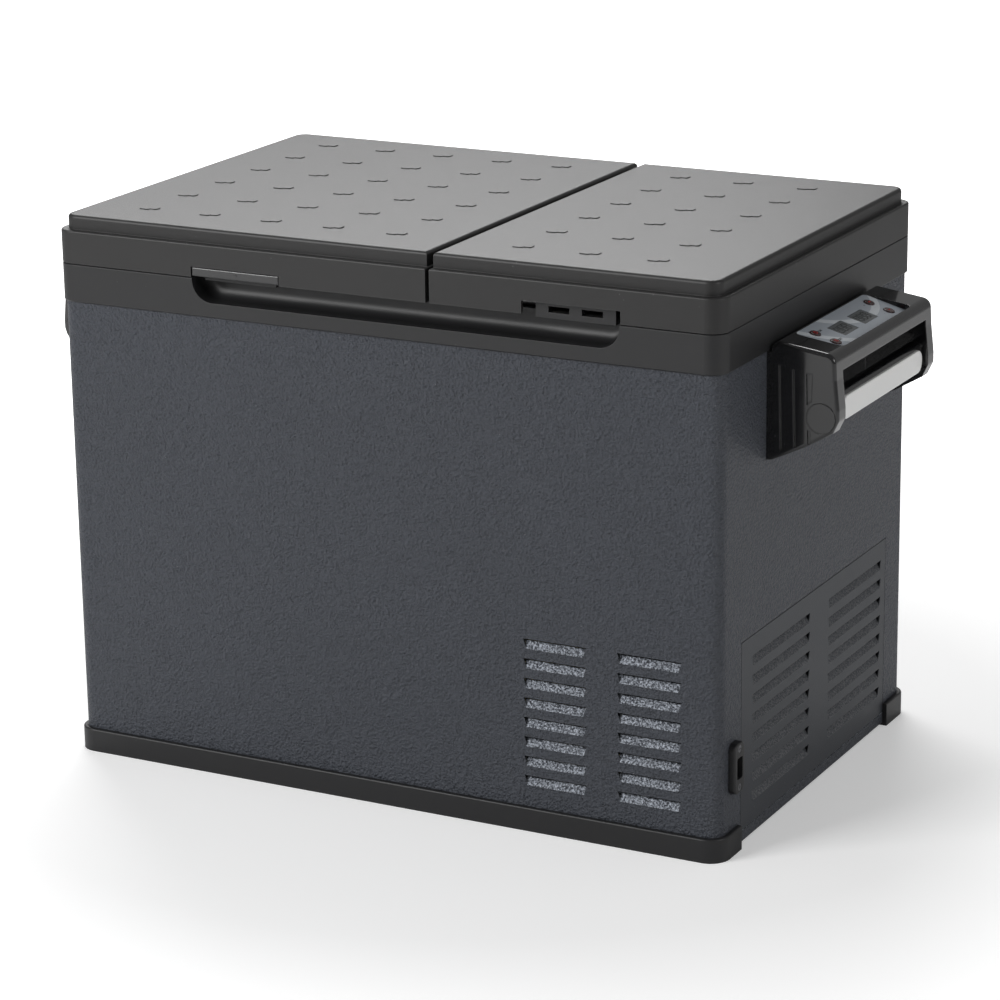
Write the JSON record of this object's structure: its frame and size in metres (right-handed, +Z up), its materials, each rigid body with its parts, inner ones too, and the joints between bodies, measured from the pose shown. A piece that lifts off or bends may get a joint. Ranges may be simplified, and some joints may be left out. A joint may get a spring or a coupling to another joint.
{
  "type": "compressor cooler fridge",
  "caption": "Two-lid chest-type compressor cooler fridge with side carrying handles, control panel on one handle, louvred vents and a low-voltage inlet.",
  "frame": {"origin": "on the floor under the middle of the cabinet", "axes": "+X right along the front, +Y to the back, +Z up"},
  "size_m": [0.7158, 0.396, 0.4669],
  "materials": {
    "cabinet_sheet": "embossed leather-grain paint, semi-matte",
    "grille_sheet": "fine satin paint",
    "zinc_steel": "zinc plated",
    "black_trim": "moulded, semi-matte",
    "screw_steel": "blackened steel",
    "frame_plastic": "moulded, fine texture",
    "lid_plastic": "moulded, fine texture",
    "tub_plastic": "smooth",
    "evaporator_aluminium": "bare",
    "foam": "polyurethane foam",
    "seal_rubber": "soft",
    "gloss_black": "piano black",
    "compressor_paint": "black enamel",
    "fan_plastic": "glass-filled",
    "copper": "bare copper",
    "pin_metal": "nickel plated",
    "satin_strip": "satin",
    "overlay_grey": "printed film",
    "board_green": "circuit board",
    "display_window": "smoked",
    "button_dark": "translucent dark",
    "lamp_lens": "frosted"
  },
  "bodies": {
    "cabinet": {"outer_cabinet": "cabinet_sheet", "side_grille": "grille_sheet", "base_pan": "zinc_steel", "front_skirt": "black_trim", "rear_foot_left": "black_trim", "rear_foot_right": "black_trim", "base_screws": "screw_steel", "top_frame": "frame_plastic", "left_tub": "tub_plastic", "right_tub": "tub_plastic", "left_evaporator": "evaporator_aluminium", "right_evaporator": "evaporator_aluminium", "insulation_foam": "foam", "hinge_brackets": "black_trim", "hinge_pins": "screw_steel", "compressor": "compressor_paint", "compressor_mounts": "seal_rubber", "compressor_bolts": "screw_steel", "fan_frame": "fan_plastic", "condenser": "evaporator_aluminium", "control_unit": "evaporator_aluminium", "filter_drier": "copper", "discharge_pipe": "copper", "liquid_pipe": "copper", "suction_pipe": "copper", "power_inlet": "black_trim", "inlet_pins": "pin_metal", "inlet_screws": "screw_steel", "right_handle": "gloss_black", "left_handle": "gloss_black", "right_grip_strip": "satin_strip", "left_grip_strip": "satin_strip", "right_grip_caps": "gloss_black", "left_grip_caps": "gloss_black", "control_overlay": "overlay_grey", "control_board": "board_green", "display_windows": "display_window", "interior_lamp": "lamp_lens"},
    "left_lid": {"left_lid_shell": "lid_plastic", "left_lid_liner": "tub_plastic", "left_lid_foam": "foam", "left_lid_seal": "seal_rubber"},
    "right_lid": {"right_lid_shell": "lid_plastic", "right_lid_liner": "tub_plastic", "right_lid_foam": "foam", "right_lid_seal": "seal_rubber"},
    "latch": {"lid_latch": "gloss_black"},
    "fan": {"fan_rotor": "fan_plastic"},
    "power_button": {"power_button": "button_dark"},
    "set_button": {"set_button": "button_dark"},
    "up_button": {"up_button": "button_dark"},
    "down_button": {"down_button": "button_dark"}
  },
  "joints": [
    {"name": "left_lid_hinge", "type": "hinge", "parent": "cabinet", "child": "left_lid", "pos_m": [-0.125, 0.186, 0.438], "axis": [-1, 0, 0], "range_deg": [0, 95]},
    {"name": "right_lid_hinge", "type": "hinge", "parent": "cabinet", "child": "right_lid", "pos_m": [0.175, 0.186, 0.438], "axis": [-1, 0, 0], "range_deg": [0, 95]},
    {"name": "latch_pull", "type": "slide", "parent": "left_lid", "child": "latch", "axis": [0, -1, 0], "range_m": [0, 0.006], "stiffness_N_per_m": 300},
    {"name": "fan_spin", "type": "hinge", "parent": "cabinet", "child": "fan", "pos_m": [0.2764, -0.065, 0.1], "axis": [1, 0, 0], "continuous": true},
    {"name": "power_button_press", "type": "slide", "parent": "cabinet", "child": "power_button", "axis": [-0.2588, 0, -0.9659], "range_m": [0, 0.001], "stiffness_N_per_m": 800},
    {"name": "set_button_press", "type": "slide", "parent": "cabinet", "child": "set_button", "axis": [-0.2588, 0, -0.9659], "range_m": [0, 0.001], "stiffness_N_per_m": 800},
    {"name": "up_button_press", "type": "slide", "parent": "cabinet", "child": "up_button", "axis": [-0.2588, 0, -0.9659], "range_m": [0, 0.001], "stiffness_N_per_m": 800},
    {"name": "down_button_press", "type": "slide", "parent": "cabinet", "child": "down_button", "axis": [-0.2588, 0, -0.9659], "range_m": [0, 0.001], "stiffness_N_per_m": 800}
  ]
}
